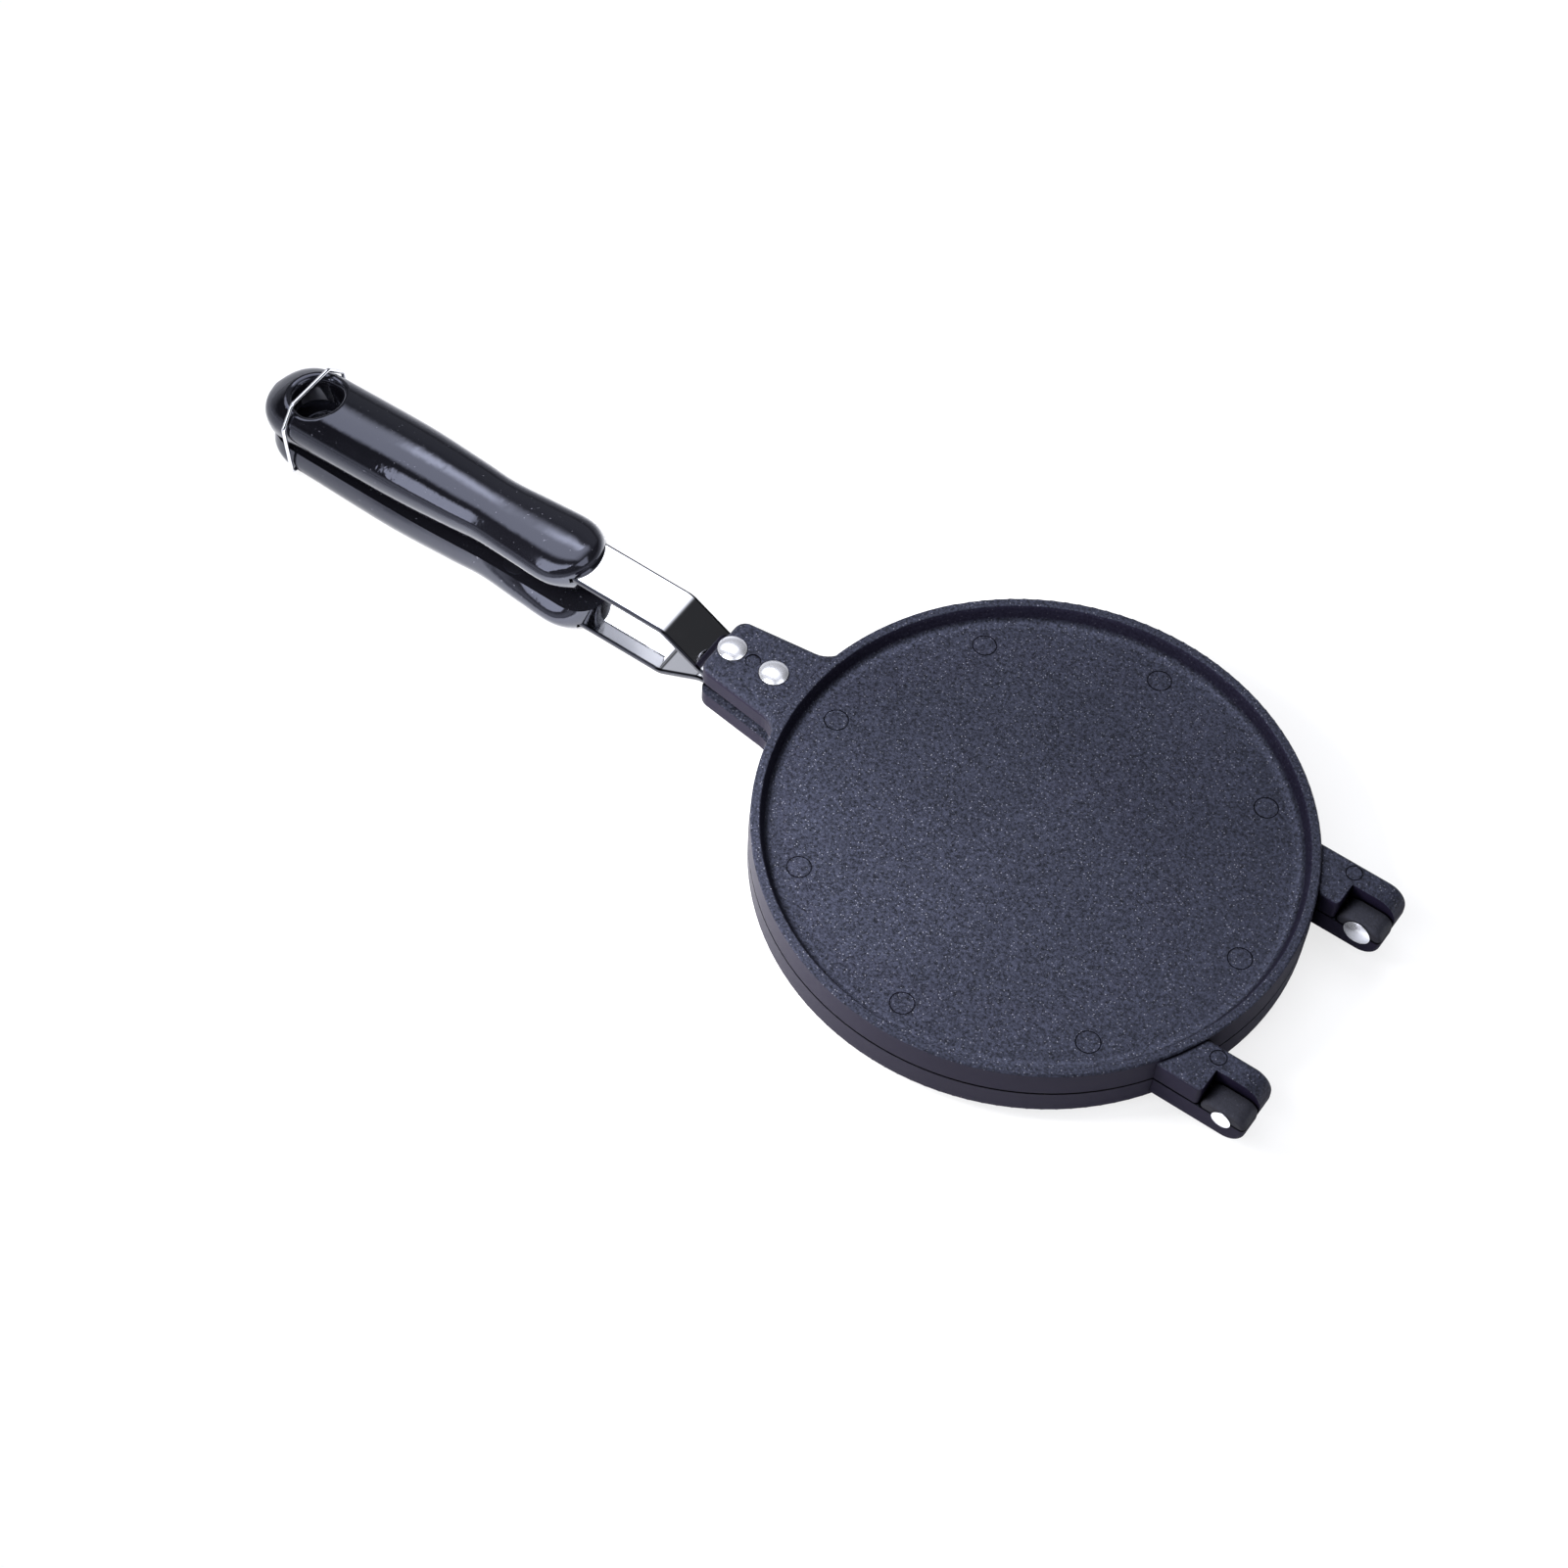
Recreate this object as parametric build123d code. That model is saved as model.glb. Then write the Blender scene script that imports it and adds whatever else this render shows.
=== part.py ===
from build123d import *
from math import cos, hypot, pi, radians, sin, sqrt
import os

# A stove-top waffle cone iron, closed and latched, in millimetres.
# The handles point to -X, the hinges are at +X, and +Z is up.
# Everything is drawn round the plates' centre, with the mating plane at z = 0.
# The last lines move it all so that the finished object stands on z = 0.
# Both plates are one casting: the lower one is the upper one turned half round the X axis.

# Round plates
PLATE_DIAMETER = 169.0        # at the mating face
HALF_HEIGHT = 9.7             # mating plane to the outer face of the rim
MATING_GAP = 0.4              # daylight between the two rims when closed
WALL_DRAFT = 0.2              # how much the outer wall leans in by the rim
RIM_LAND = 2.8                # flat width of the rim
PAN_DEPTH = 5.3               # rim down to the outer floor
PAN_DRAFT = 2.1               # how much the inner wall leans in by the floor
PAN_FILLET = 2.4
EDGE = 0.6                    # small edge radius of the castings and screws
RECESS_INSET = 6.0            # plate edge to the batter recess
RECESS_DEPTH = 1.5
RECESS_DRAFT = 0.4
GRID_PITCH = 11.0             # crossed ribs that print the waffle
GRID_RIB = 2.2
GRID_HEIGHT = 0.8
GRID_INSET = 2.5              # recess edge to the ends of the ribs

# Faint rings left by the die's ejector pins
MARK_COUNT = 8
MARK_INSET = 13.7             # plate edge to the middle of a mark
MARK_DIAMETER = 7.7
MARK_LINE = 0.4
MARK_DEPTH = 0.2
LUG_MARK_DIAMETER = 5.3
LUG_MARK_INSET = 0.8          # plate edge to the middle of a lug's mark
TONGUE_MARK_DIAMETER = 5.0    # a sunk disc between the rivets
TONGUE_MARK_DEPTH = 0.4

# Hinge lugs
LUG_CENTRE = 38.8             # from the X axis to the middle of a lug
LUG_WIDTH = 15.9
LUG_DROP = 1.2                # rim down to the top of a lug
LUG_SOFT_EDGE = 1.5
EAR_GAP = 0.5                 # side gap between an upper and a lower ear
EAR_REACH = 7.5               # pin centre to the end of an ear
EAR_SWING_GAP = 0.3           # end of an ear to the other half's lug
EAR_BELOW = 4.2               # how far an ear reaches past the mating plane
EAR_CORNER = 6.6
EAR_UNDER_CORNER = 3.9

# Hinge pins
PIN_REACH = 8.6               # plate edge to the pin's centre
PIN_DIAMETER = 5.0
PIN_CLEARANCE = 0.05          # radial, in the ears
PIN_HEAD_DIAMETER = 8.8
PIN_HEAD_HEIGHT = 1.7
PIN_TAIL_DIAMETER = 6.2
PIN_TAIL_HEIGHT = 0.9
PIN_END_FLOAT = 0.3           # between a pin's end and the ear that turns under it

# Tongue that the strap is riveted to
TONGUE_REACH = 29.1           # plate edge to the tongue's end
TONGUE_DROP = 0.4             # rim down to the top of the tongue
TONGUE_UNDERSIDE = 2.6        # mating plane to the face that the strap lies on
TONGUE_END_HALF = 11.2
TONGUE_TAPER = 0.122          # widening per side towards the plate
TONGUE_CORNER = 4.0
TONGUE_FLARE = 8.0
TONGUE_SOFT_EDGE = 1.8
TONGUE_ROOT_INSET = 0.1       # keeps the flare just inside the rim's outer edge

# Rivets
RIVET_INSETS = (4.4, 19.6)    # tongue's end to each rivet
RIVET_SHANK = 5.0
RIVET_HEAD = 9.0
RIVET_HEAD_HEIGHT = 1.6
RIVET_TAIL = 7.4
RIVET_TAIL_HEIGHT = 1.1
HEAD_EDGE = 0.25              # straight edge under the dome of a rivet or pin
FIXED_CLEARANCE = 0.03        # radial, round rivets and screws

# Straps
STRAP_WIDTH = 17.3
STRAP_THICKNESS = 1.7
STRAP_UNDER_TONGUE = 26.6     # length that lies under the tongue
STRAP_SLOPE_LENGTH = 14.7
STRAP_RISE = 8.5
STRAP_BEND = 4.6              # inner radius
STRAP_CORNER = 4.0
STRAP_EDGE = 0.5              # rolled long edges
STRAP_RUN = 45.9              # tongue's end to the nose of the upper handle

# Handles: D-shaped mouldings, closer together at the hanging hole
HANDLE_LENGTH = 125.2
HANDLE_STAGGER = 3.0          # the lower handle sits this much nearer the plates
NOSE_RADIUS = 12.8            # in plan
NOSE_CORNER = 9.6             # in plan, at the flat face
NOSE_EDGE = 5.0               # rounding between the crown and the nose
TAIL_RADIUS = 13.8            # in plan, along the handle
TAIL_POWER = 2.2              # above 2 makes the rear end blunter than a half circle
SIDE_HEIGHT = 4.4             # flat face to the widest line
SIDE_POWER = 1.5              # how round the side is below the widest line
CROWN_POWER = 0.85            # below 1 makes the crown fuller than an ellipse
TANG_LENGTH = 45.0
TANG_SIDE_GAP = 0.8
TANG_PLAY = 0.1
TANG_HOLE_CLEARANCE = 0.2     # radial, round the handle screw
HANGING_HOLE = 15.5
HANGING_HOLE_INSET = 17.0     # rear end to the hole's centre
HANGING_HOLE_MOUTH = 2.0
HANGING_HOLE_EDGE = 0.8

# Handle screws
SCREW_FROM_TANG_END = 14.5
SCREW_DIAMETER = 4.8
SCREW_TIP = 13.6              # mating plane to the screw's tip
SCREW_HEAD = 8.0
SCREW_HEAD_HEIGHT = 2.7
SCREW_WELL = 9.0
SCREW_SEAT = 7.2              # mating plane to the face that the head rests on
SCREW_SLOT = 1.2

# Wire bail that holds the handles shut
WIRE_DIAMETER = 1.3
BAIL_PIVOT_INSET = 14.4       # lower handle's rear end to the pivot
BAIL_PIVOT_DROP = 9.3         # below the mating plane
BAIL_LEAN = 7.4               # degrees back from upright
BAIL_HALF_WIDTH = 14.85
BAIL_SHOULDER = 19.0          # pivot to the shoulder bends, along the loop
BAIL_TOP = 25.05              # pivot to the top bar
BAIL_SWING_GAP = 0.3          # top bar to the rounded end of the upper handle
BAIL_TOP_HALF = 9.0
BAIL_BEND = 1.6
BAIL_HOOK_END = 9.4           # X axis to the tips of the hooks
BAIL_CLEARANCE = 0.08         # radial, in the handle
DIMPLE_DIAMETER = 5.0
DIMPLE_DEPTH = 1.2

THROUGH = 60.0                # length of a cutter that goes right through

# Places that follow from the sizes above
PLATE_R = PLATE_DIAMETER / 2
RIM_R = PLATE_R - WALL_DRAFT
FACE_Z = MATING_GAP / 2
FLOOR_Z = HALF_HEIGHT - PAN_DEPTH
RECESS_R = PLATE_R - RECESS_INSET
LUG_TOP = HALF_HEIGHT - LUG_DROP
TONGUE_TOP = HALF_HEIGHT - TONGUE_DROP
PIN_X = PLATE_R + PIN_REACH
LUG_END = PIN_X - EAR_REACH - EAR_SWING_GAP
TONGUE_X = -PLATE_R - TONGUE_REACH
RIVET_XS = [TONGUE_X + inset for inset in RIVET_INSETS]
STRAP_OUTER = TONGUE_UNDERSIDE + STRAP_RISE
STRAP_INNER = STRAP_OUTER - STRAP_THICKNESS
UPPER_NOSE_X = TONGUE_X - STRAP_RUN
LOWER_NOSE_X = UPPER_NOSE_X + HANDLE_STAGGER
SCREW_U = TANG_LENGTH - SCREW_FROM_TANG_END
PIVOT_X = LOWER_NOSE_X - HANDLE_LENGTH + BAIL_PIVOT_INSET

# The upper handle's rear end is a dome round the bail's pivot, so that the bail can swing over it
DOME_U = HANDLE_LENGTH - BAIL_PIVOT_INSET - HANDLE_STAGGER
DOME_R = BAIL_TOP - WIRE_DIAMETER / 2 - BAIL_SWING_GAP

# Handle shape against distance from the nose: half-widths, then heights above the mating plane
WIDEST = [(0, 13.3), (11.5, 13.4), (16.4, 13.3), (29.4, 12.5), (39.3, 11.9),
          (47.3, 12.5), (70, 13.8), (89, 13.9), (HANDLE_LENGTH, 13.7)]
FLAT = [(0, 10.0), (36.3, 10.2), (45.3, 10.8), (58, 11.7), (70, 12.2), (HANDLE_LENGTH, 12.8)]
FLAT_Z = [(0, 4.4), (25, 4.1), (45.3, 3.4), (58, 3.0), (70, 2.7), (89, 2.3), (HANDLE_LENGTH, 1.5)]
CROWN_Z = [(0, 15.9), (16.4, 15.9), (39.3, 15.2), (74, 15.9), (DOME_U, DOME_R - BAIL_PIVOT_DROP)]
GRIP_SECTIONS = 14            # faces that the grip is drawn through

UPRIGHT = (Align.CENTER, Align.CENTER, Align.MIN)


def turned(shape):
    """The same piece in the lower half."""
    return Rot(180, 0, 0) * shape


def ring_mark(x, y, z, diameter):
    """A shallow ring cut into a face at height z."""
    ring = Circle(diameter / 2) - Circle(diameter / 2 - MARK_LINE)
    return Pos(x, y, z - MARK_DEPTH) * extrude(ring, 2 * MARK_DEPTH)


def pan():
    """Rim, floor and batter recess of one half."""
    rim_in = RIM_R - RIM_LAND
    floor_r = rim_in - PAN_DRAFT
    recess_z = FACE_Z + RECESS_DEPTH
    section = make_face(Polyline(
        (0, recess_z),
        (RECESS_R - RECESS_DRAFT, recess_z),
        (RECESS_R, FACE_Z),
        (PLATE_R, FACE_Z),
        (RIM_R, HALF_HEIGHT),
        (rim_in, HALF_HEIGHT),
        (floor_r, FLOOR_Z),
        (0, FLOOR_Z),
        close=True,
    ))
    rounded = (
        (RIM_R, HALF_HEIGHT, EDGE),
        (rim_in, HALF_HEIGHT, EDGE),
        (floor_r, FLOOR_Z, PAN_FILLET),
    )
    for x, y, radius in rounded:
        section = fillet(section.vertices().sort_by_distance((x, y, 0))[0], radius)
    return revolve(Plane.XZ * section, Axis.Z)


def baking_grid():
    """Crossed ribs in the batter recess."""
    reach = RECESS_R - GRID_INSET
    count = int((reach - GRID_RIB) // GRID_PITCH)
    bars = []
    for i in range(-count, count + 1):
        offset = i * GRID_PITCH
        length = 2 * sqrt(reach ** 2 - (abs(offset) + GRID_RIB / 2) ** 2)
        bars.append(Pos(offset, 0) * Rectangle(GRID_RIB, length))
        bars.append(Pos(0, offset) * Rectangle(length, GRID_RIB))
    root = FACE_Z + RECESS_DEPTH
    return Pos(0, 0, root - GRID_HEIGHT) * extrude(Sketch() + bars, GRID_HEIGHT + EDGE)


def tongue():
    """The flared tab at the handle end, with soft upper edges."""
    disc_r = RIM_R - TONGUE_ROOT_INSET
    root_x = -PLATE_R / 2
    root_half = TONGUE_END_HALF + TONGUE_TAPER * (root_x - TONGUE_X)
    tab = make_face(Polyline(
        (root_x, root_half),
        (TONGUE_X, TONGUE_END_HALF),
        (TONGUE_X, -TONGUE_END_HALF),
        (root_x, -root_half),
        close=True,
    ))
    plan = Circle(disc_r) + tab
    roots = plan.vertices().filter_by(lambda v: -disc_r < v.X < root_x)
    plan = fillet(roots, TONGUE_FLARE)
    ends = plan.vertices().sort_by(Axis.X)[:2]
    plan = fillet(ends, TONGUE_CORNER)
    solid = Pos(0, 0, TONGUE_UNDERSIDE) * extrude(plan, TONGUE_TOP - TONGUE_UNDERSIDE)
    top = solid.faces().sort_by(Axis.Z)[-1]
    solid = fillet(top.edges(), TONGUE_SOFT_EDGE)
    return solid - pan_space()


def pan_space():
    """What the tongue and lugs leave clear for the pan."""
    return Cylinder(RIM_R - RIM_LAND + EDGE, THROUGH)


def lug(centre_y):
    """A block on the rim that carries one ear on its +Y side."""
    ear_width = (LUG_WIDTH - EAR_GAP) / 2
    ear_y = centre_y + LUG_WIDTH / 2
    bare_y = centre_y - LUG_WIDTH / 2
    heel_x = PIN_X - EAR_REACH
    tip_x = PIN_X + EAR_REACH
    profile = make_face(Polyline(
        (0, FACE_Z),
        (heel_x, FACE_Z),
        (heel_x, -EAR_BELOW),
        (tip_x, -EAR_BELOW),
        (tip_x, LUG_TOP),
        (0, LUG_TOP),
        close=True,
    ))
    rounded = (
        (heel_x, -EAR_BELOW, EAR_UNDER_CORNER),
        (tip_x, -EAR_BELOW, EAR_UNDER_CORNER),
        (tip_x, LUG_TOP, EAR_CORNER),
    )
    for x, z, radius in rounded:
        profile = fillet(profile.vertices().sort_by_distance((x, z, 0))[0], radius)
    ear = Pos(0, ear_y, 0) * extrude(Plane.XZ * profile, ear_width)
    block = Pos(0, bare_y, FACE_Z) * Box(LUG_END, LUG_WIDTH, LUG_TOP - FACE_Z, align=Align.MIN)
    solid = block + ear
    top_edges = solid.faces().sort_by(Axis.Z)[-1].edges().filter_by(Axis.X)
    end_edges = solid.edges().filter_by(Axis.Z).sort_by(Axis.Y)[:2].sort_by(Axis.X)[-1:]
    solid = fillet(top_edges.sort_by(Axis.Y)[:1] + top_edges.sort_by(Axis.Y)[-1:] + end_edges, LUG_SOFT_EDGE)
    return solid - pan_space()


def casting():
    """One half of the iron: plate, lugs and tongue, with the holes for pins and rivets."""
    bore = Rot(90, 0, 0) * Cylinder(PIN_DIAMETER / 2 + PIN_CLEARANCE, 2 * (LUG_CENTRE + LUG_WIDTH))
    cuts = [Pos(PIN_X, 0, 0) * bore]
    for x in RIVET_XS:
        cuts.append(Pos(x, 0, 0) * Cylinder(RIVET_SHANK / 2 + FIXED_CLEARANCE, THROUGH))
    ring_r = PLATE_R - MARK_INSET
    for i in range(MARK_COUNT):
        angle = 2 * pi * i / MARK_COUNT
        cuts.append(ring_mark(ring_r * cos(angle), ring_r * sin(angle), FLOOR_Z, MARK_DIAMETER))
    ear_shift = (LUG_WIDTH + EAR_GAP) / 4
    for side in (1, -1):
        mark_y = side * LUG_CENTRE + ear_shift
        cuts.append(ring_mark(PLATE_R - LUG_MARK_INSET, mark_y, LUG_TOP, LUG_MARK_DIAMETER))
    sunk = Cylinder(TONGUE_MARK_DIAMETER / 2, 2 * TONGUE_MARK_DEPTH)
    cuts.append(Pos(sum(RIVET_XS) / 2, 0, TONGUE_TOP) * sunk)
    solid = pan() + [tongue(), lug(LUG_CENTRE), lug(-LUG_CENTRE)]
    return (solid - cuts) + baking_grid()


def hinge_pin(lug_y, head_side, fixed_side):
    """A domed pin through both ears of a lug; its free end floats off the ear that turns."""
    float_head = 0 if head_side == fixed_side else PIN_END_FLOAT
    float_tail = PIN_END_FLOAT - float_head
    head_y = LUG_WIDTH / 2 + float_head
    tail_y = LUG_WIDTH / 2 + float_tail
    head_r = PIN_HEAD_DIAMETER / 2
    tail_r = PIN_TAIL_DIAMETER / 2
    head_edge = (head_r, head_y + HEAD_EDGE)
    head_top = (0, head_y + PIN_HEAD_HEIGHT)
    tail_edge = (tail_r, -tail_y - HEAD_EDGE)
    tail_top = (0, -tail_y - PIN_TAIL_HEIGHT)
    half = make_face([
        Line(head_top, tail_top),
        TangentArc(tail_top, tail_edge, tangent=(1, 0)),
        Polyline(
            tail_edge,
            (tail_r, -tail_y),
            (PIN_DIAMETER / 2, -tail_y),
            (PIN_DIAMETER / 2, head_y),
            (head_r, head_y),
            head_edge,
        ),
        TangentArc(head_top, head_edge, tangent=(1, 0)),
    ])
    pin = revolve(Plane.XY * half, Axis.Y)
    if head_side < 0:
        pin = Rot(0, 0, 180) * pin
    return Pos(PIN_X, lug_y, 0) * pin


def rivet(x):
    """A dome-headed rivet, set flush in the strap's inner face."""
    head_r = RIVET_HEAD / 2
    low = TONGUE_UNDERSIDE - STRAP_THICKNESS
    edge = (head_r, TONGUE_TOP + HEAD_EDGE)
    top = (0, TONGUE_TOP + RIVET_HEAD_HEIGHT)
    half = make_face([
        Polyline(
            top,
            (0, low),
            (RIVET_TAIL / 2, low),
            (RIVET_SHANK / 2, low + RIVET_TAIL_HEIGHT),
            (RIVET_SHANK / 2, TONGUE_TOP),
            (head_r, TONGUE_TOP),
            edge,
        ),
        TangentArc(top, edge, tangent=(1, 0)),
    ])
    return Pos(x, 0, 0) * revolve(Plane.XZ * half, Axis.Z)


def strap(nose_x):
    """Flat bar under the tongue that cranks up and runs on as the handle's tang."""
    low = TONGUE_UNDERSIDE - STRAP_THICKNESS
    start = TONGUE_X + STRAP_UNDER_TONGUE
    end = nose_x - TANG_LENGTH
    half_turn = (hypot(STRAP_SLOPE_LENGTH, STRAP_RISE) - STRAP_SLOPE_LENGTH) / STRAP_RISE
    shift = STRAP_THICKNESS * half_turn
    bend_x = TONGUE_X - STRAP_BEND * half_turn
    slope_end = bend_x - STRAP_SLOPE_LENGTH
    profile = make_face(Polyline(
        (start, low),
        (bend_x - shift, low),
        (slope_end - shift, STRAP_INNER),
        (end, STRAP_INNER),
        (end, STRAP_OUTER),
        (slope_end, STRAP_OUTER),
        (bend_x, TONGUE_UNDERSIDE),
        (start, TONGUE_UNDERSIDE),
        close=True,
    ))
    bends = (
        (bend_x, TONGUE_UNDERSIDE, STRAP_BEND),
        (bend_x - shift, low, STRAP_BEND + STRAP_THICKNESS),
        (slope_end, STRAP_OUTER, STRAP_BEND + STRAP_THICKNESS),
        (slope_end - shift, STRAP_INNER, STRAP_BEND),
    )
    for x, z, radius in bends:
        profile = fillet(profile.vertices().sort_by_distance((x, z, 0))[0], radius)
    bar = Pos(0, STRAP_WIDTH / 2, 0) * extrude(Plane.XZ * profile, STRAP_WIDTH)
    corners = bar.edges().filter_by(Axis.Z).sort_by(Axis.X)
    bar = fillet(corners[:2] + corners[-2:], STRAP_CORNER)
    sides = bar.faces().sort_by(Axis.Y)
    long_edges = (sides[0].edges() + sides[-1].edges()).filter_by(Axis.Z, reverse=True)
    bar = fillet(long_edges, STRAP_EDGE)
    rivet_r = RIVET_SHANK / 2 + FIXED_CLEARANCE
    sink = Cone(RIVET_TAIL / 2 + FIXED_CLEARANCE, rivet_r, RIVET_TAIL_HEIGHT, align=UPRIGHT)
    cuts = []
    for x in RIVET_XS:
        cuts.append(Pos(x, 0, 0) * Cylinder(rivet_r, THROUGH))
        cuts.append(Pos(x, 0, low) * sink)
    cuts.append(Pos(nose_x - SCREW_U, 0, 0) * Cylinder(SCREW_DIAMETER / 2 + TANG_HOLE_CLEARANCE, THROUGH))
    return bar - cuts


def between(table, u):
    """Value at distance u from the nose, on a smooth curve through a table of points."""
    last = len(table) - 1
    i = 0
    while i < last - 1 and u > table[i + 1][0]:
        i += 1
    slopes = []
    for k in (i, i + 1):
        before = table[max(k - 1, 0)]
        after = table[min(k + 1, last)]
        inside = 0 < k < last
        slopes.append((after[1] - before[1]) / (after[0] - before[0]) if inside else 0)
    (u0, v0), (u1, v1) = table[i], table[i + 1]
    span = u1 - u0
    t = min((u - u0) / span, 1)
    rise = t * t * (3 - 2 * t)
    start = t * (1 - t) ** 2 * span * slopes[0]
    finish = t * t * (t - 1) * span * slopes[1]
    return v0 + (v1 - v0) * rise + start + finish


def corner_inset(radius, u):
    """How far a rounded corner cuts in, at distance u from the end."""
    if u >= radius:
        return 0
    return radius - sqrt(radius ** 2 - (radius - u) ** 2)


def handle_section(u):
    """D-shaped face across the handle, at distance u from the nose."""
    wide = between(WIDEST, u) - corner_inset(NOSE_RADIUS, u)
    flat = between(FLAT, u) - corner_inset(NOSE_CORNER, u)
    low = between(FLAT_Z, u)
    top = between(CROWN_Z, u) - corner_inset(NOSE_EDGE, u)
    if u > DOME_U:
        top = sqrt(DOME_R ** 2 - (u - DOME_U) ** 2) - BAIL_PIVOT_DROP
    tail = u - (HANDLE_LENGTH - TAIL_RADIUS)
    if tail > 0:
        narrowing = (1 - (tail / TAIL_RADIUS) ** TAIL_POWER) ** (1 / TAIL_POWER)
        wide *= narrowing
        flat *= narrowing
    middle = low + SIDE_HEIGHT
    right = []
    for share in (0, 0.3, 0.65, 1):
        right.append((wide - (wide - flat) * (1 - share) ** SIDE_POWER, low + share * SIDE_HEIGHT))
    for angle in (28, 52, 74):
        across = cos(radians(angle)) ** CROWN_POWER
        up = sin(radians(angle)) ** CROWN_POWER
        right.append((wide * across, middle + (top - middle) * up))
    left = [(-y, z) for y, z in reversed(right)]
    face = make_face([Spline(right + [(0, top)] + left), Line(left[-1], right[0])])
    return Plane(origin=(-u, 0, 0), x_dir=(0, 1, 0), z_dir=(1, 0, 0)) * face


def handle():
    """The moulding, with its tang slot, screw well and hanging hole; its nose is at x = 0."""
    nose = [NOSE_RADIUS * (1 - cos(radians(a))) for a in (0, 12, 24, 36, 48, 62, 76)]
    tail_start = HANDLE_LENGTH - TAIL_RADIUS
    grip = [NOSE_RADIUS + (tail_start - NOSE_RADIUS) * i / GRIP_SECTIONS for i in range(GRIP_SECTIONS)]
    tail = [tail_start + TAIL_RADIUS * sin(radians(a)) for a in (0, 15, 29, 42, 54, 65, 75, 82, 86, 89)]
    solid = loft([handle_section(u) for u in nose + grip + tail])
    solid -= Pos(HANGING_HOLE_INSET - HANDLE_LENGTH, 0, 0) * Cylinder(HANGING_HOLE / 2, THROUGH)
    solid = fillet(hole_rims(solid)[-1], HANGING_HOLE_MOUTH)
    solid = fillet(hole_rims(solid)[0], HANGING_HOLE_EDGE)
    slot = Box(
        2 * (TANG_LENGTH + TANG_SIDE_GAP),
        STRAP_WIDTH + 2 * TANG_SIDE_GAP,
        STRAP_THICKNESS + TANG_PLAY,
        align=UPRIGHT,
    )
    well = Cylinder(SCREW_WELL / 2, SCREW_SEAT, align=UPRIGHT)
    thread = Cylinder(SCREW_DIAMETER / 2 + FIXED_CLEARANCE, SCREW_TIP + FIXED_CLEARANCE, align=UPRIGHT)
    return solid - [Pos(0, 0, STRAP_INNER) * slot, Pos(-SCREW_U, 0, 0) * well, Pos(-SCREW_U, 0, 0) * thread]


def hole_rims(solid):
    """The hanging hole's two rims, the one in the flat face first."""
    wall = solid.faces().filter_by(GeomType.CYLINDER)[0]
    rims = wall.edges().filter_by(lambda edge: edge.length > 2 * HANGING_HOLE)
    return rims.sort_by(lambda edge: edge.bounding_box().center().Z)


def screw():
    """A slotted cheese-head screw that holds the handle to its tang."""
    low = SCREW_SEAT - SCREW_HEAD_HEIGHT
    head = Pos(0, 0, low) * Cylinder(SCREW_HEAD / 2, SCREW_HEAD_HEIGHT, align=UPRIGHT)
    head = fillet(head.edges().filter_by(GeomType.CIRCLE).sort_by(Axis.Z)[0], EDGE)
    shank = Pos(0, 0, SCREW_SEAT) * Cylinder(SCREW_DIAMETER / 2, SCREW_TIP - SCREW_SEAT, align=UPRIGHT)
    shank = chamfer(shank.edges().filter_by(GeomType.CIRCLE).sort_by(Axis.Z)[-1], EDGE)
    slot = Pos(0, 0, low) * Box(2 * SCREW_HEAD, SCREW_SLOT, SCREW_HEAD_HEIGHT)
    return head + shank - slot


def bail_seats():
    """Cutters for the holes and dimples in the lower handle's sides that the bail hooks into."""
    hole_r = WIRE_DIAMETER / 2 + BAIL_CLEARANCE
    outer = between(WIDEST, HANDLE_LENGTH - BAIL_PIVOT_INSET)
    cuts = []
    for turn in (90, -90):
        seat = Pos(BAIL_PIVOT_INSET - HANDLE_LENGTH, 0, BAIL_PIVOT_DROP) * Rot(turn, 0, 0)
        hole = Pos(0, 0, BAIL_HOOK_END - BAIL_CLEARANCE) * Cylinder(hole_r, THROUGH, align=UPRIGHT)
        dimple = Pos(0, 0, outer - DIMPLE_DEPTH) * Cylinder(DIMPLE_DIAMETER / 2, THROUGH, align=UPRIGHT)
        cuts += [seat * hole, seat * dimple]
    return cuts


def bail():
    """The sprung wire loop, drawn flat and leaned back on its pivot."""
    path = FilletPolyline(
        (BAIL_HOOK_END, 0),
        (BAIL_HALF_WIDTH, 0),
        (BAIL_HALF_WIDTH, BAIL_SHOULDER),
        (BAIL_TOP_HALF, BAIL_TOP),
        (-BAIL_TOP_HALF, BAIL_TOP),
        (-BAIL_HALF_WIDTH, BAIL_SHOULDER),
        (-BAIL_HALF_WIDTH, 0),
        (-BAIL_HOOK_END, 0),
        radius=BAIL_BEND,
    )
    start = Plane(origin=(BAIL_HOOK_END, 0, 0), z_dir=(1, 0, 0))
    loop = sweep(start * Circle(WIRE_DIAMETER / 2), path=path)
    lean = radians(BAIL_LEAN)
    pivot = (PIVOT_X, 0, -BAIL_PIVOT_DROP)
    return Plane(origin=pivot, x_dir=(0, 1, 0), z_dir=(cos(lean), 0, sin(lean))) * loop


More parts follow.
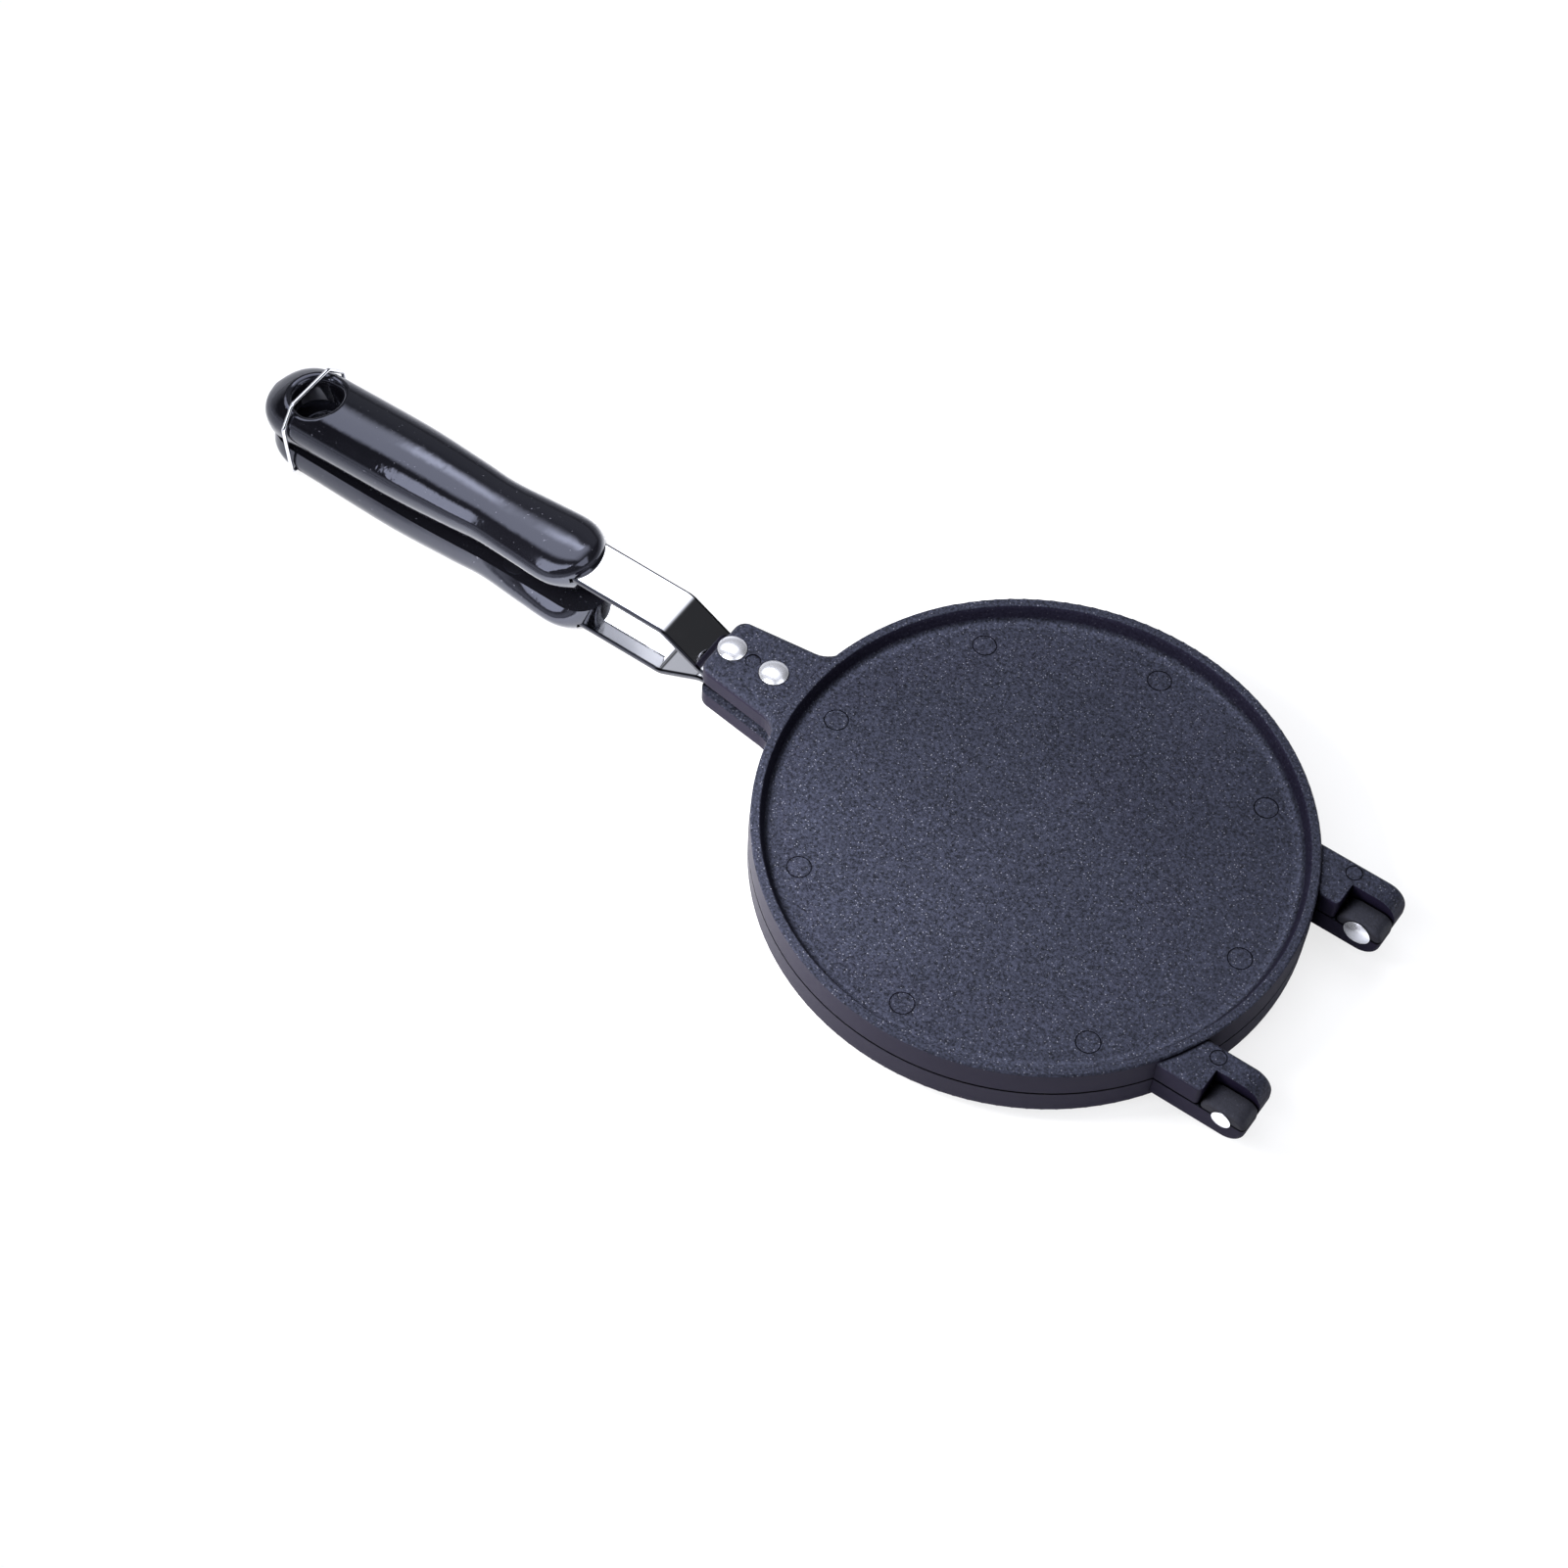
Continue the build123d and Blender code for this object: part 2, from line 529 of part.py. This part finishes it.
half = casting()
nodes = {
    "upper_plate": half,
    "lower_plate": turned(half),
    "upper_strap": strap(UPPER_NOSE_X),
    "lower_strap": turned(strap(LOWER_NOSE_X)),
    "upper_outer_rivet": rivet(RIVET_XS[0]),
    "upper_inner_rivet": rivet(RIVET_XS[1]),
    "lower_outer_rivet": turned(rivet(RIVET_XS[0])),
    "lower_inner_rivet": turned(rivet(RIVET_XS[1])),
    "left_hinge_pin": hinge_pin(LUG_CENTRE, -1, -1),
    "right_hinge_pin": hinge_pin(-LUG_CENTRE, 1, -1),
    "upper_handle": Pos(UPPER_NOSE_X, 0, 0) * handle(),
    "lower_handle": Pos(LOWER_NOSE_X, 0, 0) * turned(handle() - bail_seats()),
    "upper_handle_screw": Pos(UPPER_NOSE_X - SCREW_U, 0, 0) * screw(),
    "lower_handle_screw": Pos(LOWER_NOSE_X - SCREW_U, 0, 0) * turned(screw()),
    "bail_wire": bail(),
}

# Stand the closed iron on z = 0, with the middle of its outline over x = 0, y = 0
boxes = [shape.bounding_box() for shape in nodes.values()]
middle_x = (min(box.min.X for box in boxes) + max(box.max.X for box in boxes)) / 2
middle_y = (min(box.min.Y for box in boxes) + max(box.max.Y for box in boxes)) / 2
lowest_z = min(box.min.Z for box in boxes)

os.makedirs("parts", exist_ok=True)
for name, shape in nodes.items():
    placed = Pos(-middle_x, -middle_y, -lowest_z) * shape
    export_step(placed, f"parts/{name}.step")
print("plates' centre is at x, y, z =", round(-middle_x, 4), round(-middle_y, 4), round(-lowest_z, 4))
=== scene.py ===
import math

import bpy
from mathutils import Matrix, Vector

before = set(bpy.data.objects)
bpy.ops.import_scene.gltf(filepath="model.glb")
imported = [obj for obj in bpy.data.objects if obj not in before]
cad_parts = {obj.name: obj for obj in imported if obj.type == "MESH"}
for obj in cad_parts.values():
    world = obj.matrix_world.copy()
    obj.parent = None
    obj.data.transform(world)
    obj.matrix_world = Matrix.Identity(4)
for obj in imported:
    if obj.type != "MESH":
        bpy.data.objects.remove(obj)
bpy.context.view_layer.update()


# The plates: two die-cast aluminium castings, sprayed with a dark blue-grey non-stick coat and baked. The
# coat is grainy with flecks of mica where it faces up or down, smoother down the outer wall, where a darker
# colour is painted shade, and a flat dark grey on the ears that reach past the joint face.

MM = 0.001
PLATE_CENTRE = Vector((92.0489, 0, 15.9464)) * MM     # on the joint face
NOISE_SIZE = 0.5              # width of one swelling of a noise of scale 1
GRAIN = 0.4 * MM              # a little coarser than the real grain, so that it shows
FLECK = 0.9 * MM              # room round one fleck
CLOUD = 55 * MM               # a patch of thicker spray
EAR_TONE_START = 0.1 * MM          # distances past the joint face between which the ears turn dark grey
EAR_TONE_FULL = 0.6 * MM
SEAM = 0.25 * MM              # half of the painted shadow line in the groove where the plates meet
SEAM_END = 0.6 * MM
PAN_SIDE = 3.0 * MM           # distances from the joint face between which the pan begins
PAN_SIDE_FULL = 3.5 * MM
PAINTED_PAN_BANDS = (
    # radii where the band starts, is full, begins to fade and ends, then its brightness
    (76.2 * MM, 77.2 * MM, 78.6 * MM, 79.4 * MM, 1.45),   # painted highlight at the foot of the pan's wall
    (78.6 * MM, 79.6 * MM, 80.9 * MM, 81.5 * MM, 0.6),    # painted shade up the pan's wall itself
)
PAINTED_CORNER_SHADE = (
    # reach of the shade, the openness at which it is full and at which it ends, and how dark it gets
    (5.0 * MM, 0.3, 0.9, 0.12),     # in the pan's corner and the notches
    (0.8 * MM, 0.6, 0.96, 0.15),    # in the ejector rings
)
COAT_SHEEN = 0.19
WALL_SHEEN = 0.045
MIX_FIRST, MIX_SECOND, MIX_RESULT = 6, 7, 2           # sockets of a mix node that carry colours


def colour(hex_code):
    """A hex sRGB colour as the linear values that the nodes take."""
    values = []
    for i in (0, 2, 4):
        c = int(hex_code[i:i + 2], 16) / 255
        values.append(c / 12.92 if c <= 0.04045 else ((c + 0.055) / 1.055) ** 2.4)
    return (*values, 1)


def connect(tree, node, inputs):
    """Fills a node's sockets, each with a value or with a link from another node's socket."""
    for socket, value in inputs.items():
        if isinstance(value, bpy.types.NodeSocket):
            tree.links.new(value, node.inputs[socket])
        else:
            node.inputs[socket].default_value = value


def add(tree, kind, inputs=None, **settings):
    """Adds one node with its settings and its inputs, and returns its outputs."""
    node = tree.nodes.new(kind)
    for name, value in settings.items():
        setattr(node, name, value)
    connect(tree, node, inputs or {})
    return node.outputs


def finish(name):
    """A new finish: its material, its tree of nodes and its surface shader."""
    made = bpy.data.materials.new(name)
    made.use_nodes = True
    return made, made.node_tree, made.node_tree.nodes["Principled BSDF"]


def lay(made, *pieces):
    """Lays a finish on these pieces."""
    for piece in pieces:
        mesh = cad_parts[piece].data
        mesh.materials.clear()
        mesh.materials.append(made)


def speckled_coat(name, ear_side):
    """The coat of one plate, whose ears reach to this side (up 1, down -1) of the joint face."""
    coat, tree, shader = finish(name)
    surface = add(tree, "ShaderNodeTexCoord")
    place = surface["Object"]
    along = add(tree, "ShaderNodeSeparateXYZ", {"Vector": place})
    facing = add(tree, "ShaderNodeSeparateXYZ", {"Vector": surface["Normal"]})

    # dark hollows and lighter crests of the grain
    grain = add(
        tree, "ShaderNodeTexNoise",
        {"Vector": place, "Scale": NOISE_SIZE / GRAIN, "Detail": 3, "Roughness": 0.7},
    )["Fac"]
    crest = add(tree, "ShaderNodeMapRange", {"Value": grain, "From Min": 0.35, "From Max": 0.66})["Result"]
    tint = add(
        tree, "ShaderNodeMix", {0: crest, MIX_FIRST: colour("0a0b0e"), MIX_SECOND: colour("2b2d39")},
        data_type="RGBA",
    )[MIX_RESULT]

    # the outer wall, told by its sideways normal, is smoother, and its darker colour there is painted shade
    level = add(tree, "ShaderNodeMath", {0: facing["Z"]}, operation="ABSOLUTE")[0]
    grainy = add(tree, "ShaderNodeMapRange", {"Value": level, "From Min": 0.25, "From Max": 0.7})["Result"]
    tint = add(
        tree, "ShaderNodeMix", {0: grainy, MIX_FIRST: colour("13101d"), MIX_SECOND: tint}, data_type="RGBA",
    )[MIX_RESULT]

    # flecks of mica, some brighter than others
    cells = add(tree, "ShaderNodeTexVoronoi", {"Vector": place, "Scale": 1 / FLECK})
    fleck = add(
        tree, "ShaderNodeMapRange",
        {"Value": cells["Distance"], "From Min": 0.1, "From Max": 0.26, "To Min": 1, "To Max": 0},
    )["Result"]
    chance = add(tree, "ShaderNodeSeparateColor", {"Color": cells["Color"]})["Red"]
    bright = add(tree, "ShaderNodeMapRange", {"Value": chance, "From Min": 0.3})["Result"]
    for share in (bright, grainy):
        fleck = add(tree, "ShaderNodeMath", {0: fleck, 1: share}, operation="MULTIPLY")[0]
    tint = add(
        tree, "ShaderNodeMix", {0: fleck, MIX_FIRST: tint, MIX_SECOND: colour("666771")}, data_type="RGBA",
    )[MIX_RESULT]

    # past the joint face the ears turn a flat dark grey
    height = add(tree, "ShaderNodeMath", {0: along["Z"], 1: PLATE_CENTRE.z}, operation="SUBTRACT")[0]
    past = add(tree, "ShaderNodeMath", {0: height, 1: ear_side}, operation="MULTIPLY")[0]
    ear_tone = add(
        tree, "ShaderNodeMapRange",
        {"Value": past, "From Min": EAR_TONE_START, "From Max": EAR_TONE_FULL, "To Max": 0.85},
    )["Result"]
    tint = add(
        tree, "ShaderNodeMix", {0: ear_tone, MIX_FIRST: tint, MIX_SECOND: colour("202024")}, data_type="RGBA",
    )[MIX_RESULT]

    # the spray lies a little uneven over the pan
    cloud = add(
        tree, "ShaderNodeTexNoise", {"Vector": place, "Scale": NOISE_SIZE / CLOUD, "Detail": 3},
    )["Fac"]
    tone_and_painted_light = add(
        tree, "ShaderNodeMapRange",
        {"Value": cloud, "From Min": 0.32, "From Max": 0.68, "To Min": 0.82, "To Max": 1.18},
    )["Result"]

    # painted shade darkens the corners, the notches and the rings
    painted_light_factors = []
    for reach, shut, clear, darkest in PAINTED_CORNER_SHADE:
        corner = add(tree, "ShaderNodeAmbientOcclusion", {"Distance": reach}, samples=6)["AO"]
        painted_light_factors.append(add(
            tree, "ShaderNodeMapRange",
            {"Value": corner, "From Min": shut, "From Max": clear, "To Min": darkest},
        )["Result"])

    # round bands of painted light on the pan's side: a painted highlight at the foot of its wall and painted
    # shade up the wall
    flat = add(tree, "ShaderNodeVectorMath", {0: place, 1: (1, 1, 0)}, operation="MULTIPLY")["Vector"]
    middle = (PLATE_CENTRE.x, 0, 0)
    radius = add(tree, "ShaderNodeVectorMath", {0: flat, 1: middle}, operation="DISTANCE")["Value"]
    pan_side = add(
        tree, "ShaderNodeMapRange", {"Value": past, "From Min": -PAN_SIDE, "From Max": -PAN_SIDE_FULL},
    )["Result"]
    for start, full, fading, end, brightness in PAINTED_PAN_BANDS:
        band = add(
            tree, "ShaderNodeMapRange", {"Value": radius, "From Min": start, "From Max": full},
        )["Result"]
        fade = add(
            tree, "ShaderNodeMapRange",
            {"Value": radius, "From Min": fading, "From Max": end, "To Min": 1, "To Max": 0},
        )["Result"]
        for share in (fade, pan_side):
            band = add(tree, "ShaderNodeMath", {0: band, 1: share}, operation="MULTIPLY")[0]
        painted_light_factors.append(add(
            tree, "ShaderNodeMapRange", {"Value": band, "To Min": 1, "To Max": brightness},
        )["Result"])

    # painted shadow in the groove where the plates' edges meet, round the wall
    away = add(tree, "ShaderNodeMath", {0: height}, operation="ABSOLUTE")[0]
    seam_shadow = add(
        tree, "ShaderNodeMapRange", {"Value": away, "From Min": SEAM, "From Max": SEAM_END, "To Min": 0.05},
    )["Result"]
    painted_light_factors.append(add(tree, "ShaderNodeMath", {0: seam_shadow, 1: grainy}, operation="MAXIMUM")[0])

    # painted light: the painted shade and highlight above, with the spray's random tone, scale the coat's
    # colour
    for other in painted_light_factors:
        tone_and_painted_light = add(tree, "ShaderNodeMath", {0: tone_and_painted_light, 1: other}, operation="MULTIPLY")[0]
    tint = add(
        tree, "ShaderNodeMix", {0: 1, MIX_FIRST: tint, MIX_SECOND: tone_and_painted_light},
        data_type="RGBA", blend_type="MULTIPLY",
    )[MIX_RESULT]
    # the sheen is scaled by the same painted shade
    sheen = add(
        tree, "ShaderNodeMapRange", {"Value": grainy, "To Min": WALL_SHEEN, "To Max": COAT_SHEEN},
    )["Result"]
    sheen = add(tree, "ShaderNodeMath", {0: tone_and_painted_light, 1: sheen}, operation="MULTIPLY")[0]
    swell = add(tree, "ShaderNodeMath", {0: grain, 1: grainy}, operation="MULTIPLY")[0]
    bump = add(tree, "ShaderNodeBump", {"Height": swell, "Strength": 0.6, "Distance": 0.35 * MM})["Normal"]
    connect(tree, shader, {
        "Base Color": tint,
        "Specular IOR Level": sheen,
        "Specular Tint": colour("dde1ff"),
        "Roughness": 0.55,
        "Normal": bump,
    })
    return coat


lay(speckled_coat("speckled_coat_of_upper_plate", -1), "upper_plate")
lay(speckled_coat("speckled_coat_of_lower_plate", 1), "lower_plate")


# The straps: two flat steel bars, cranked in a press, polished and chromed, and riveted under the tongues.
# They mirror the studio. Handling leaves faint smudges in the polish, and painted shade darkens the faces
# that turn sideways and, more, the long edges.

SMUDGE = 6 * MM
FLAT_END = 7.65 * MM          # distances from the middle line between which the painted shade of the long edges sets in
EDGE_START = 7.95 * MM
chrome, tree, shader = finish("chromed_steel_strap")
surface = add(tree, "ShaderNodeTexCoord")
smear = add(
    tree, "ShaderNodeTexNoise", {"Vector": surface["Object"], "Scale": NOISE_SIZE / SMUDGE, "Detail": 5},
)["Fac"]
smudged = add(
    tree, "ShaderNodeMapRange",
    {"Value": smear, "From Min": 0.5, "From Max": 0.75, "To Min": 0.04, "To Max": 0.2},
)["Result"]
# painted shade: the faces that turn sideways and the long edges get darker colours
facing = add(tree, "ShaderNodeSeparateXYZ", {"Vector": surface["Normal"]})
sideways = add(tree, "ShaderNodeMath", {0: facing["Y"]}, operation="ABSOLUTE")[0]
sideways_shade = add(tree, "ShaderNodeMapRange", {"Value": sideways, "From Min": 0.05, "From Max": 0.25})["Result"]
along = add(tree, "ShaderNodeSeparateXYZ", {"Vector": surface["Object"]})
aside = add(tree, "ShaderNodeMath", {0: along["Y"]}, operation="ABSOLUTE")[0]
edge = add(
    tree, "ShaderNodeMapRange", {"Value": aside, "From Min": FLAT_END, "From Max": EDGE_START},
)["Result"]
tint = add(
    tree, "ShaderNodeMix", {0: sideways_shade, MIX_FIRST: colour("e4e5e9"), MIX_SECOND: colour("5a5b61")},
    data_type="RGBA",
)[MIX_RESULT]
tint = add(
    tree, "ShaderNodeMix", {0: edge, MIX_FIRST: tint, MIX_SECOND: colour("2c2d33")}, data_type="RGBA",
)[MIX_RESULT]
connect(tree, shader, {"Base Color": tint, "Roughness": smudged, "Metallic": 1})
lay(chrome, "upper_strap", "lower_strap")


# The rivets and the hinge pins: solid aluminium, put through their holes and headed cold, so the domes are
# soft mirrors with a slight hammered unevenness.

DENT = 1.5 * MM
aluminium, tree, shader = finish("headed_aluminium")
place = add(tree, "ShaderNodeTexCoord")["Object"]
dents = add(tree, "ShaderNodeTexNoise", {"Vector": place, "Scale": NOISE_SIZE / DENT, "Detail": 2})["Fac"]
bump = add(tree, "ShaderNodeBump", {"Height": dents, "Strength": 0.1, "Distance": 0.3 * MM})["Normal"]
connect(tree, shader, {"Base Color": colour("dcdde3"), "Metallic": 0.88, "Roughness": 0.26, "Normal": bump})
lay(aluminium, "upper_outer_rivet", "upper_inner_rivet", "lower_outer_rivet", "lower_inner_rivet")
lay(aluminium, "left_hinge_pin", "right_hinge_pin")


# The handles: black phenolic, pressed in a polished mould and slid over the ends of the straps. The mould
# gives a deep gloss with a faint haze, on which dust shows.

HAZE = 9 * MM
DUST = 0.5 * MM
phenolic, tree, shader = finish("glossy_black_phenolic")
place = add(tree, "ShaderNodeTexCoord")["Object"]
haze = add(
    tree, "ShaderNodeTexNoise",
    {"Vector": place, "Scale": NOISE_SIZE / HAZE, "Detail": 4, "Roughness": 0.6},
)["Fac"]
gloss = add(
    tree, "ShaderNodeMapRange",
    {"Value": haze, "From Min": 0.35, "From Max": 0.7, "To Min": 0.05, "To Max": 0.11},
)["Result"]
dust = add(tree, "ShaderNodeTexNoise", {"Vector": place, "Scale": NOISE_SIZE / DUST, "Detail": 1})["Fac"]
dusty = add(tree, "ShaderNodeMapRange", {"Value": dust, "From Min": 0.74, "From Max": 0.80})["Result"]
tint = add(
    tree, "ShaderNodeMix", {0: dusty, MIX_FIRST: colour("0b0b0f"), MIX_SECOND: colour("4a4b52")},
    data_type="RGBA",
)[MIX_RESULT]
connect(tree, shader, {
    "Base Color": tint,
    "Roughness": gloss,
    "IOR": 1.65,
    # the bluish specular tint is painted light, standing in for the bluish light of the soft boxes
    "Specular Tint": colour("e3e8ff"),
})
lay(phenolic, "upper_handle", "lower_handle")


# The handle screws: slotted steel screws with a dull zinc plate, sunk in the flat faces of the handles. The
# plate has a faint spangle.

SPANGLE = 1.2 * MM
zinc, tree, shader = finish("zinc_plated_steel")
place = add(tree, "ShaderNodeTexCoord")["Object"]
spangle = add(
    tree, "ShaderNodeTexNoise", {"Vector": place, "Scale": NOISE_SIZE / SPANGLE, "Detail": 3},
)["Fac"]
tint = add(
    tree, "ShaderNodeMix", {0: spangle, MIX_FIRST: colour("8f9296"), MIX_SECOND: colour("cfd1d4")},
    data_type="RGBA",
)[MIX_RESULT]
connect(tree, shader, {"Base Color": tint, "Metallic": 1, "Roughness": 0.35})
lay(zinc, "upper_handle_screw", "lower_handle_screw")


# The bail: one length of hard-drawn steel wire, bent cold, bright plated and sprung into the lower handle.
# Drawing leaves the finest lines on it, which show as an uneven polish.

DRAWN_LINE = 0.2 * MM
wire, tree, shader = finish("bright_plated_wire")
place = add(tree, "ShaderNodeTexCoord")["Object"]
lines = add(
    tree, "ShaderNodeTexNoise", {"Vector": place, "Scale": NOISE_SIZE / DRAWN_LINE, "Detail": 2},
)["Fac"]
polish = add(tree, "ShaderNodeMapRange", {"Value": lines, "To Min": 0.08, "To Max": 0.26})["Result"]
connect(tree, shader, {"Base Color": colour("dcdde1"), "Metallic": 1, "Roughness": polish})
lay(wire, "bail_wire")


# The table top: plain white board, overexposed as in the photograph, so most of what the camera sees of it
# is pure white, and only a trace of the iron's soft shadow is left. Everything else sees it as board.

TABLE_REACH = 6.0             # metres from the middle to an edge
MOTTLE = 166.7 * MM           # the faintest cloudiness, so that the white isn't a single value
WASHED_OUT = 0.72             # share of the camera's view that is glare
GLARE = 1.03
table_mesh = bpy.data.meshes.new("floor")
table_mesh.from_pydata(
    [(x * TABLE_REACH, y * TABLE_REACH, 0) for x, y in ((-1, -1), (1, -1), (1, 1), (-1, 1))],
    [], [(0, 1, 2, 3)],
)
table = bpy.data.objects.new("floor", table_mesh)
bpy.context.scene.collection.objects.link(table)
board, tree, shader = finish("white_table_top")
place = add(tree, "ShaderNodeTexCoord")["Object"]
mottle = add(tree, "ShaderNodeTexNoise", {"Vector": place, "Scale": NOISE_SIZE / MOTTLE, "Detail": 2})["Fac"]
tone = add(tree, "ShaderNodeMapRange", {"Value": mottle, "To Min": 0.93, "To Max": 0.96})["Result"]
connect(tree, shader, {"Base Color": tone, "Roughness": 0.9, "Specular IOR Level": 0.2})
seen = add(tree, "ShaderNodeLightPath")["Is Camera Ray"]
washed = add(tree, "ShaderNodeMath", {0: seen, 1: WASHED_OUT}, operation="MULTIPLY")[0]
glare = add(tree, "ShaderNodeEmission", {"Strength": GLARE})["Emission"]
both = add(tree, "ShaderNodeMixShader", {0: washed, 1: shader.outputs[0], 2: glare})["Shader"]
connect(tree, tree.nodes["Material Output"], {"Surface": both})
table_mesh.materials.append(board)


# The soft boxes of the studio, as the glossy handles show them: each is a rectangle with soft edges on a
# plane one unit overhead. Between them the ceiling is nearly black, and the walls are pale low down. The
# camera itself sees plain white.

SOFT_BOXES = (
    # low and high edge and softness along x, the same along y, then the strength and the lean of the x edges
    ((-1.30, 0.12, 0.45), (-0.02, 0.70, 0.11), 2.9, 0.0),     # broad diffuser
    ((-0.50, -0.39, 0.06), (0.50, 0.66, 0.09), 4.6, 0.0),     # its bright centre
    ((-1.80, 0.35, 0.30), (0.75, 2.40, 0.40), 0.28, 0.0),     # its glow on the far wall
    ((-0.32, 0.40, 0.04), (-2.40, -0.38, 0.10), 4.6, 0.3),    # window on the near side
    ((-4.00, 4.00, 0.50), (-1e5, -3.20, 0.80), 0.4, 0.0),     # sunlit wall under the window
    ((0.55, 2.20, 0.10), (-0.40, 0.42, 0.10), 2.4, 0.0),      # panel beyond the hinges
)
CEILING = 0.035
WALLS = 0.75
WALLS_TOP = 0.42              # sine of the height that the pale walls reach
LEAST_HEIGHT = 0.001          # keeps directions at the horizon from being divided by nothing
studio = bpy.data.worlds.new("studio")
studio.use_nodes = True
tree = studio.node_tree
direction = add(tree, "ShaderNodeTexCoord")["Generated"]
toward = add(tree, "ShaderNodeSeparateXYZ", {"Vector": direction})
rise = add(tree, "ShaderNodeMath", {0: toward["Z"], 1: LEAST_HEIGHT}, operation="MAXIMUM")[0]
overhead_x = add(tree, "ShaderNodeMath", {0: toward["X"], 1: rise}, operation="DIVIDE")[0]
overhead_y = add(tree, "ShaderNodeMath", {0: toward["Y"], 1: rise}, operation="DIVIDE")[0]
light = add(
    tree, "ShaderNodeMapRange",
    {"Value": toward["Z"], "From Max": WALLS_TOP, "To Min": WALLS, "To Max": CEILING},
    interpolation_type="SMOOTHSTEP",
)["Result"]
for across, along, strength, lean in SOFT_BOXES:
    leaned_x = add(
        tree, "ShaderNodeMath", {0: overhead_y, 1: -lean, 2: overhead_x}, operation="MULTIPLY_ADD",
    )[0]
    box = strength
    for overhead, (low, high, soft) in ((leaned_x, across), (overhead_y, along)):
        for edge, before, after in ((low, 0, 1), (high, 1, 0)):
            inside = add(
                tree, "ShaderNodeMapRange",
                {"Value": overhead, "From Min": edge - soft, "From Max": edge + soft,
                 "To Min": before, "To Max": after},
                interpolation_type="SMOOTHSTEP",
            )["Result"]
            box = add(tree, "ShaderNodeMath", {0: inside, 1: box}, operation="MULTIPLY")[0]
    light = add(tree, "ShaderNodeMath", {0: light, 1: box}, operation="ADD")[0]
connect(tree, tree.nodes["Background"], {"Color": colour("f4f6ff"), "Strength": light})
white = add(tree, "ShaderNodeBackground", {"Color": colour("ffffff"), "Strength": 1})["Background"]
seen = add(tree, "ShaderNodeLightPath")["Is Camera Ray"]
both = add(
    tree, "ShaderNodeMixShader", {0: seen, 1: tree.nodes["Background"].outputs[0], 2: white},
)["Shader"]
connect(tree, tree.nodes["World Output"], {"Surface": both})
bpy.context.scene.world = studio


# The lamp: a small soft one on the near side, close to the handles, which makes the pan lighter there. It
# gives no mirror image of itself.

LAMP_PLACE = Vector((-80, -160, 220)) * MM
LAMP_AIM = PLATE_CENTRE + Vector((-45, -15, 0)) * MM
LAMP_SIZE = 160 * MM
LAMP_WATTS = 1.25
LAMP_SPREAD = math.radians(105)
lamp_data = bpy.data.lights.new("lamp", "AREA")
lamp_data.size = LAMP_SIZE
lamp_data.energy = LAMP_WATTS
lamp_data.spread = LAMP_SPREAD
lamp = bpy.data.objects.new("lamp", lamp_data)
lamp.location = LAMP_PLACE
lamp.rotation_euler = (LAMP_AIM - LAMP_PLACE).to_track_quat("-Z", "Y").to_euler()
lamp.visible_glossy = False
bpy.context.scene.collection.objects.link(lamp)


# The camera: above the near side, with a long lens and a little tilted, as in the photograph. Its numbers
# were solved from the plates, the straps and the handles there.

AZIMUTH = math.radians(30.32)
ELEVATION = math.radians(55.63)
ROLL = math.radians(5.16)
DISTANCE = 1169.5 * MM
AIM = PLATE_CENTRE + Vector((-71.8, -25.9, 0)) * MM
LENS = 90.14                  # focal length in millimetres, on a sensor of this width
SENSOR = 36
VIEW_END = 50                 # metres, past the table's far edge
back = Vector((
    math.sin(AZIMUTH) * math.cos(ELEVATION),
    -math.cos(AZIMUTH) * math.cos(ELEVATION),
    math.sin(ELEVATION),
))
level = Vector((math.cos(AZIMUTH), math.sin(AZIMUTH), 0))
upright = back.cross(level)
right = math.cos(ROLL) * level + math.sin(ROLL) * upright
up = back.cross(right)
stand = AIM + back * DISTANCE
camera_data = bpy.data.cameras.new("camera")
camera_data.lens = LENS
camera_data.sensor_width = SENSOR
camera_data.clip_end = VIEW_END
camera = bpy.data.objects.new("camera", camera_data)
camera.matrix_world = Matrix((
    (right.x, up.x, back.x, stand.x),
    (right.y, up.y, back.y, stand.y),
    (right.z, up.z, back.z, stand.z),
    (0, 0, 0, 1),
))
bpy.context.scene.collection.objects.link(camera)
bpy.context.scene.camera = camera
bpy.context.scene.view_settings.view_transform = "Standard"
